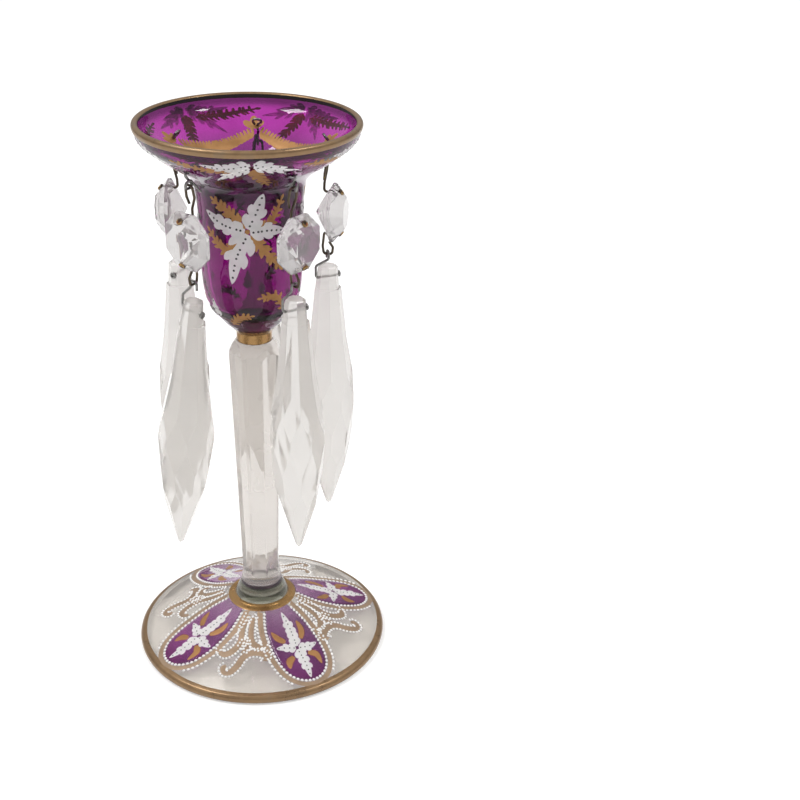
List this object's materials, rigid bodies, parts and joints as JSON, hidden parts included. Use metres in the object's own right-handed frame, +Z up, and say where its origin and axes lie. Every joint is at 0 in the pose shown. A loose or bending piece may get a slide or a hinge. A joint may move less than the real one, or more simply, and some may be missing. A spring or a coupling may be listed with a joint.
{
  "type": "mantel lustre",
  "caption": "Standing glass lustre: hollow spread foot, faceted stem and flared amethyst cup with wire-hung octagon beads and spear prisms that swing.",
  "frame": {"origin": "centre of the ring that the foot stands on, at floor level", "axes": "+Z up along the stem, -Y towards the viewer in the picture"},
  "size_m": [0.098, 0.098, 0.2105],
  "materials": {
    "clear_glass": "polished clear glass, slightly warm grey",
    "amethyst_glass": "polished amethyst glass with gilding and enamel",
    "crystal": "cut and polished clear crystal",
    "steel_wire": "dull dark drawn wire",
    "brass_wire": "tarnished drawn brass wire"
  },
  "bodies": {
    "stand": {"foot": "clear_glass", "stem": "clear_glass", "bowl": "amethyst_glass"},
    "hanger_1_body": {"hanger_1": "steel_wire"},
    "bead_1_body": {"octagon_1": "crystal", "upper_pin_1": "brass_wire", "lower_pin_1": "brass_wire"},
    "bail_1_body": {"prism_pin_1": "steel_wire"},
    "prism_1_body": {"prism_1": "crystal"},
    "hanger_2_body": {"hanger_2": "steel_wire"},
    "bead_2_body": {"octagon_2": "crystal", "upper_pin_2": "brass_wire", "lower_pin_2": "brass_wire"},
    "bail_2_body": {"prism_pin_2": "steel_wire"},
    "prism_2_body": {"prism_2": "crystal"},
    "hanger_3_body": {"hanger_3": "steel_wire"},
    "bead_3_body": {"octagon_3": "crystal", "upper_pin_3": "brass_wire", "lower_pin_3": "brass_wire"},
    "bail_3_body": {"prism_pin_3": "steel_wire"},
    "prism_3_body": {"prism_3": "crystal"},
    "hanger_4_body": {"hanger_4": "steel_wire"},
    "bead_4_body": {"octagon_4": "crystal", "upper_pin_4": "brass_wire", "lower_pin_4": "brass_wire"},
    "bail_4_body": {"prism_pin_4": "steel_wire"},
    "prism_4_body": {"prism_4": "crystal"},
    "hanger_5_body": {"hanger_5": "steel_wire"},
    "bead_5_body": {"octagon_5": "crystal", "upper_pin_5": "brass_wire", "lower_pin_5": "brass_wire"},
    "bail_5_body": {"prism_pin_5": "steel_wire"},
    "prism_5_body": {"prism_5": "crystal"}
  },
  "joints": [
    {"name": "hanger_1_swing", "type": "hinge", "parent": "stand", "child": "hanger_1_body", "pos_m": [0, 0.02929, 0.19967], "axis": [1, 0, 0], "range_deg": [-0.5, 10]},
    {"name": "bead_1_swing", "type": "hinge", "parent": "hanger_1_body", "child": "bead_1_body", "pos_m": [0, 0.0293, 0.1933], "axis": [0, 1, 0], "range_deg": [-1.8, 1.8]},
    {"name": "bail_1_swing", "type": "hinge", "parent": "bead_1_body", "child": "bail_1_body", "pos_m": [0, 0.0293, 0.1596], "axis": [0, 1, 0], "range_deg": [-1.4, 1.4]},
    {"name": "prism_1_swing", "type": "hinge", "parent": "bail_1_body", "child": "prism_1_body", "pos_m": [0, 0.0293, 0.1513], "axis": [1, 0, 0], "range_deg": [-1.5, 12]},
    {"name": "hanger_2_swing", "type": "hinge", "parent": "stand", "child": "hanger_2_body", "pos_m": [-0.02786, 0.00905, 0.19967], "axis": [0.309, 0.9511, 0], "range_deg": [-0.5, 10]},
    {"name": "bead_2_swing", "type": "hinge", "parent": "hanger_2_body", "child": "bead_2_body", "pos_m": [-0.02787, 0.00905, 0.1933], "axis": [-0.9511, 0.309, 0], "range_deg": [-1.8, 0.8]},
    {"name": "bail_2_swing", "type": "hinge", "parent": "bead_2_body", "child": "bail_2_body", "pos_m": [-0.02787, 0.00905, 0.1596], "axis": [-0.9994, -0.0349, 0], "range_deg": [-1.4, 0.6]},
    {"name": "prism_2_swing", "type": "hinge", "parent": "bail_2_body", "child": "prism_2_body", "pos_m": [-0.02787, 0.00905, 0.1513], "axis": [0.309, 0.9511, 0], "range_deg": [-1.5, 12]},
    {"name": "hanger_3_swing", "type": "hinge", "parent": "stand", "child": "hanger_3_body", "pos_m": [-0.01722, -0.0237, 0.19967], "axis": [-0.809, 0.5878, 0], "range_deg": [-0.5, 10]},
    {"name": "bead_3_swing", "type": "hinge", "parent": "hanger_3_body", "child": "bead_3_body", "pos_m": [-0.01722, -0.0237, 0.1933], "axis": [-0.5878, -0.809, 0], "range_deg": [-0.5, 1.5]},
    {"name": "bail_3_swing", "type": "hinge", "parent": "bead_3_body", "child": "bail_3_body", "pos_m": [-0.01722, -0.0237, 0.1596], "axis": [-0.5878, -0.809, 0], "range_deg": [0, 6.5]},
    {"name": "prism_3_swing", "type": "hinge", "parent": "bail_3_body", "child": "prism_3_body", "pos_m": [-0.01801, -0.02313, 0.14945], "axis": [-0.8053, 0.5851, 0.0958], "range_deg": [-3.7, 9.8]},
    {"name": "hanger_4_swing", "type": "hinge", "parent": "stand", "child": "hanger_4_body", "pos_m": [0.01722, -0.0237, 0.19967], "axis": [-0.809, -0.5878, 0], "range_deg": [-0.5, 10]},
    {"name": "bead_4_swing", "type": "hinge", "parent": "hanger_4_body", "child": "bead_4_body", "pos_m": [0.01722, -0.0237, 0.1933], "axis": [0.5878, -0.809, 0], "range_deg": [-1.8, 1.5]},
    {"name": "bail_4_swing", "type": "hinge", "parent": "bead_4_body", "child": "bail_4_body", "pos_m": [0.01722, -0.0237, 0.1596], "axis": [0.7771, -0.6293, 0], "range_deg": [-1.4, 1.2]},
    {"name": "prism_4_swing", "type": "hinge", "parent": "bail_4_body", "child": "prism_4_body", "pos_m": [0.01722, -0.0237, 0.1513], "axis": [-0.809, -0.5878, 0], "range_deg": [-1.5, 12]},
    {"name": "hanger_5_swing", "type": "hinge", "parent": "stand", "child": "hanger_5_body", "pos_m": [0.02786, 0.00905, 0.19967], "axis": [0.309, -0.9511, 0], "range_deg": [-0.5, 10]},
    {"name": "bead_5_swing", "type": "hinge", "parent": "hanger_5_body", "child": "bead_5_body", "pos_m": [0.02644, 0.00859, 0.1933], "axis": [0.9511, 0.309, 0], "range_deg": [-1.5, 1.5]},
    {"name": "bail_5_swing", "type": "hinge", "parent": "bead_5_body", "child": "bail_5_body", "pos_m": [0.02644, 0.00859, 0.1596], "axis": [0.9903, -0.1392, 0], "range_deg": [-1, 1]},
    {"name": "prism_5_swing", "type": "hinge", "parent": "bail_5_body", "child": "prism_5_body", "pos_m": [0.02644, 0.00859, 0.1513], "axis": [-0.8387, -0.5446, 0], "range_deg": [-1.2, 1.2]}
  ]
}
